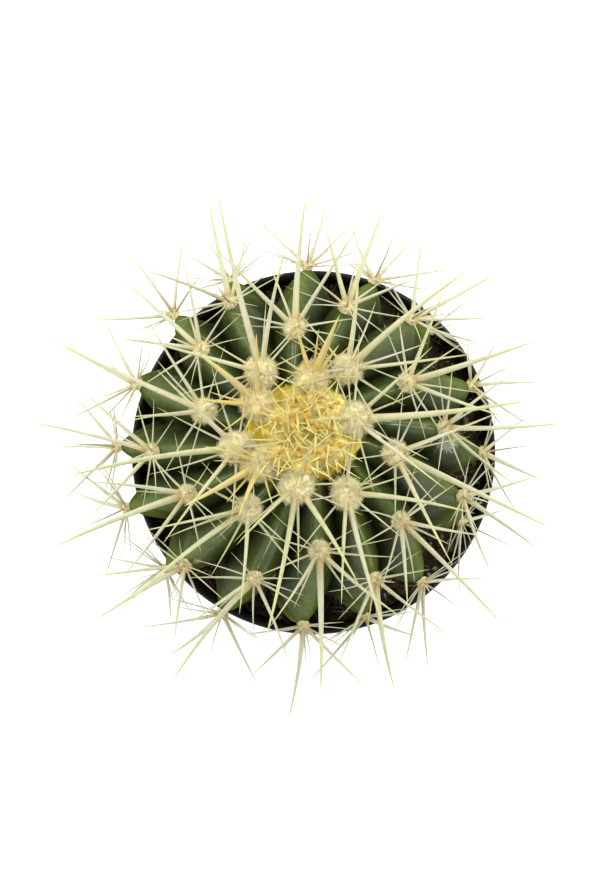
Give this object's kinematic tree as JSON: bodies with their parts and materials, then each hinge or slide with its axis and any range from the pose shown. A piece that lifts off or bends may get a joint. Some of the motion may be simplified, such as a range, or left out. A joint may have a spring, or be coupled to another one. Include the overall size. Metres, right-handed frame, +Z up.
{
  "type": "potted barrel cactus",
  "caption": "Round ribbed cactus with woolly crown and clusters of long pale spines, growing in a round tapered plastic nursery pot.",
  "frame": {"origin": "centre of the underside of the pot", "axes": "+Z up, the way the plant grows; +X towards the side where the gap between stem and rim is widest"},
  "size_m": [0.1225, 0.1219, 0.1409],
  "materials": {
    "pot_plastic": "thin injection-moulded black plastic, satin, with a slightly shinier rim",
    "peat_soil": null,
    "cactus_skin": null,
    "crown_wool": "dense golden yellow wool with amber young spines",
    "spines": null
  },
  "bodies": {
    "root": {"nursery_pot": "pot_plastic", "potting_soil": "peat_soil", "stem": "cactus_skin", "crown_wool": "crown_wool", "spine_cluster_01": "spines", "spine_cluster_02": "spines", "spine_cluster_03": "spines", "spine_cluster_04": "spines", "spine_cluster_05": "spines", "spine_cluster_06": "spines", "spine_cluster_07": "spines", "spine_cluster_08": "spines", "spine_cluster_09": "spines", "spine_cluster_10": "spines", "spine_cluster_11": "spines", "spine_cluster_12": "spines", "spine_cluster_13": "spines", "spine_cluster_14": "spines", "spine_cluster_15": "spines", "spine_cluster_16": "spines", "spine_cluster_17": "spines", "spine_cluster_18": "spines", "spine_cluster_19": "spines", "spine_cluster_20": "spines", "spine_cluster_21": "spines", "spine_cluster_22": "spines", "spine_cluster_23": "spines", "spine_cluster_24": "spines", "spine_cluster_25": "spines", "spine_cluster_26": "spines", "spine_cluster_27": "spines", "spine_cluster_28": "spines", "spine_cluster_29": "spines", "spine_cluster_30": "spines", "spine_cluster_31": "spines", "spine_cluster_32": "spines", "spine_cluster_33": "spines", "spine_cluster_34": "spines", "spine_cluster_35": "spines", "spine_cluster_36": "spines", "spine_cluster_37": "spines", "spine_cluster_38": "spines", "spine_cluster_39": "spines", "spine_cluster_40": "spines", "spine_cluster_41": "spines", "spine_cluster_42": "spines", "spine_cluster_43": "spines"}
  },
  "joints": []
}
